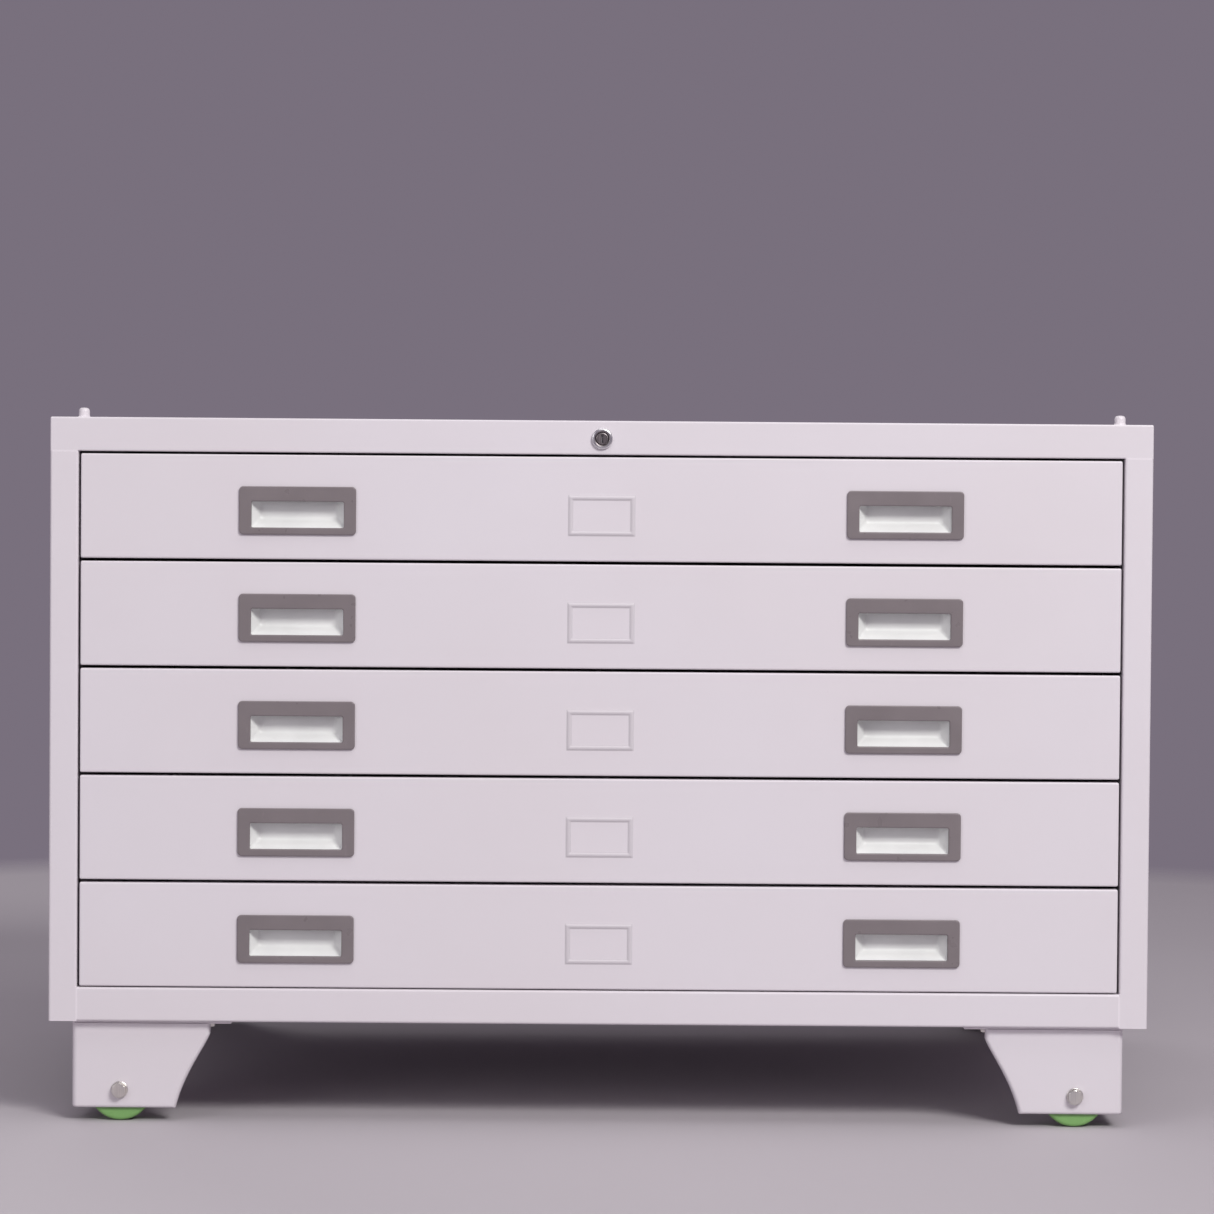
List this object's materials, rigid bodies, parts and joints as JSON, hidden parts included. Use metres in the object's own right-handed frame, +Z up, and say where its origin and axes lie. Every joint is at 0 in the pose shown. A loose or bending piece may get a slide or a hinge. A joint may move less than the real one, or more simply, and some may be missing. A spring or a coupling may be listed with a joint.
{
  "type": "flat file cabinet",
  "caption": "Low, wide steel flat file cabinet with wide shallow drawers on telescopic slides, flush finger pulls, a cam lock and short wheeled legs.",
  "frame": {"origin": "on the floor under the middle of the cabinet", "axes": "+Z up; the drawers open towards -Y; +X runs along the cabinet's width, to the right as seen from in front"},
  "size_m": [1.1, 0.7639, 0.7157],
  "materials": {
    "white_paint": "satin off-white powder coat",
    "zinc": "bright zinc plate",
    "chrome": "polished",
    "grey_plastic": "satin mid grey, with a paler pocket",
    "green_tyre": "green polyurethane wheel"
  },
  "bodies": {
    "cabinet": {"top_panel": "white_paint", "side_panel_left": "white_paint", "side_panel_right": "white_paint", "bottom_panel": "white_paint", "back_panel": "white_paint", "leg_front_left": "white_paint", "leg_front_right": "white_paint", "leg_rear_left": "white_paint", "leg_rear_right": "white_paint", "axle_bolt_front_left": "zinc", "axle_bolt_front_right": "zinc", "axle_bolt_rear_left": "zinc", "axle_bolt_rear_right": "zinc", "lock_housing": "chrome", "slide_outer_1_left": "zinc", "slide_outer_1_right": "zinc", "slide_outer_2_left": "zinc", "slide_outer_2_right": "zinc", "slide_outer_3_left": "zinc", "slide_outer_3_right": "zinc", "slide_outer_4_left": "zinc", "slide_outer_4_right": "zinc", "slide_outer_5_left": "zinc", "slide_outer_5_right": "zinc"},
    "drawer_1": {"drawer_1_tray": "white_paint", "drawer_1_front": "white_paint", "drawer_1_pull_left": "grey_plastic", "drawer_1_pull_right": "grey_plastic"},
    "slide_1": {"slide_middle_1_left": "zinc", "slide_middle_1_right": "zinc"},
    "drawer_2": {"drawer_2_tray": "white_paint", "drawer_2_front": "white_paint", "drawer_2_pull_left": "grey_plastic", "drawer_2_pull_right": "grey_plastic"},
    "slide_2": {"slide_middle_2_left": "zinc", "slide_middle_2_right": "zinc"},
    "drawer_3": {"drawer_3_tray": "white_paint", "drawer_3_front": "white_paint", "drawer_3_pull_left": "grey_plastic", "drawer_3_pull_right": "grey_plastic"},
    "slide_3": {"slide_middle_3_left": "zinc", "slide_middle_3_right": "zinc"},
    "drawer_4": {"drawer_4_tray": "white_paint", "drawer_4_front": "white_paint", "drawer_4_pull_left": "grey_plastic", "drawer_4_pull_right": "grey_plastic"},
    "slide_4": {"slide_middle_4_left": "zinc", "slide_middle_4_right": "zinc"},
    "drawer_5": {"drawer_5_tray": "white_paint", "drawer_5_front": "white_paint", "drawer_5_pull_left": "grey_plastic", "drawer_5_pull_right": "grey_plastic"},
    "slide_5": {"slide_middle_5_left": "zinc", "slide_middle_5_right": "zinc"},
    "wheel_front_left": {"wheel_front_left": "green_tyre"},
    "wheel_front_right": {"wheel_front_right": "green_tyre"},
    "wheel_rear_left": {"wheel_rear_left": "green_tyre"},
    "wheel_rear_right": {"wheel_rear_right": "green_tyre"},
    "lock": {"lock_plug": "chrome", "lock_cam": "zinc"}
  },
  "joints": [
    {"name": "drawer_1_slide", "type": "slide", "parent": "cabinet", "child": "drawer_1", "axis": [0, -1, 0], "range_m": [0, 0.65]},
    {"name": "slide_1_travel", "type": "slide", "parent": "cabinet", "child": "slide_1", "axis": [0, -1, 0], "range_m": [0, 0.325]},
    {"name": "drawer_2_slide", "type": "slide", "parent": "cabinet", "child": "drawer_2", "axis": [0, -1, 0], "range_m": [0, 0.65]},
    {"name": "slide_2_travel", "type": "slide", "parent": "cabinet", "child": "slide_2", "axis": [0, -1, 0], "range_m": [0, 0.325]},
    {"name": "drawer_3_slide", "type": "slide", "parent": "cabinet", "child": "drawer_3", "axis": [0, -1, 0], "range_m": [0, 0.65]},
    {"name": "slide_3_travel", "type": "slide", "parent": "cabinet", "child": "slide_3", "axis": [0, -1, 0], "range_m": [0, 0.325]},
    {"name": "drawer_4_slide", "type": "slide", "parent": "cabinet", "child": "drawer_4", "axis": [0, -1, 0], "range_m": [0, 0.65]},
    {"name": "slide_4_travel", "type": "slide", "parent": "cabinet", "child": "slide_4", "axis": [0, -1, 0], "range_m": [0, 0.325]},
    {"name": "drawer_5_slide", "type": "slide", "parent": "cabinet", "child": "drawer_5", "axis": [0, -1, 0], "range_m": [0, 0.65]},
    {"name": "slide_5_travel", "type": "slide", "parent": "cabinet", "child": "slide_5", "axis": [0, -1, 0], "range_m": [0, 0.325]},
    {"name": "wheel_front_left_roll", "type": "hinge", "parent": "cabinet", "child": "wheel_front_left", "pos_m": [-0.4795, -0.3522, 0.032], "axis": [0, 1, 0], "continuous": true},
    {"name": "wheel_front_right_roll", "type": "hinge", "parent": "cabinet", "child": "wheel_front_right", "pos_m": [0.4795, -0.3522, 0.032], "axis": [0, 1, 0], "continuous": true},
    {"name": "wheel_rear_left_roll", "type": "hinge", "parent": "cabinet", "child": "wheel_rear_left", "pos_m": [-0.4795, 0.3522, 0.032], "axis": [0, 1, 0], "continuous": true},
    {"name": "wheel_rear_right_roll", "type": "hinge", "parent": "cabinet", "child": "wheel_rear_right", "pos_m": [0.4795, 0.3522, 0.032], "axis": [0, 1, 0], "continuous": true},
    {"name": "lock_turn", "type": "hinge", "parent": "cabinet", "child": "lock", "pos_m": [0, -0.38, 0.688], "axis": [0, 1, 0], "range_deg": [0, 90]}
  ],
  "couplings": [
    {"joint": "slide_1_travel", "follows": "drawer_1_slide", "ratio": 0.5},
    {"joint": "slide_2_travel", "follows": "drawer_2_slide", "ratio": 0.5},
    {"joint": "slide_3_travel", "follows": "drawer_3_slide", "ratio": 0.5},
    {"joint": "slide_4_travel", "follows": "drawer_4_slide", "ratio": 0.5},
    {"joint": "slide_5_travel", "follows": "drawer_5_slide", "ratio": 0.5}
  ]
}
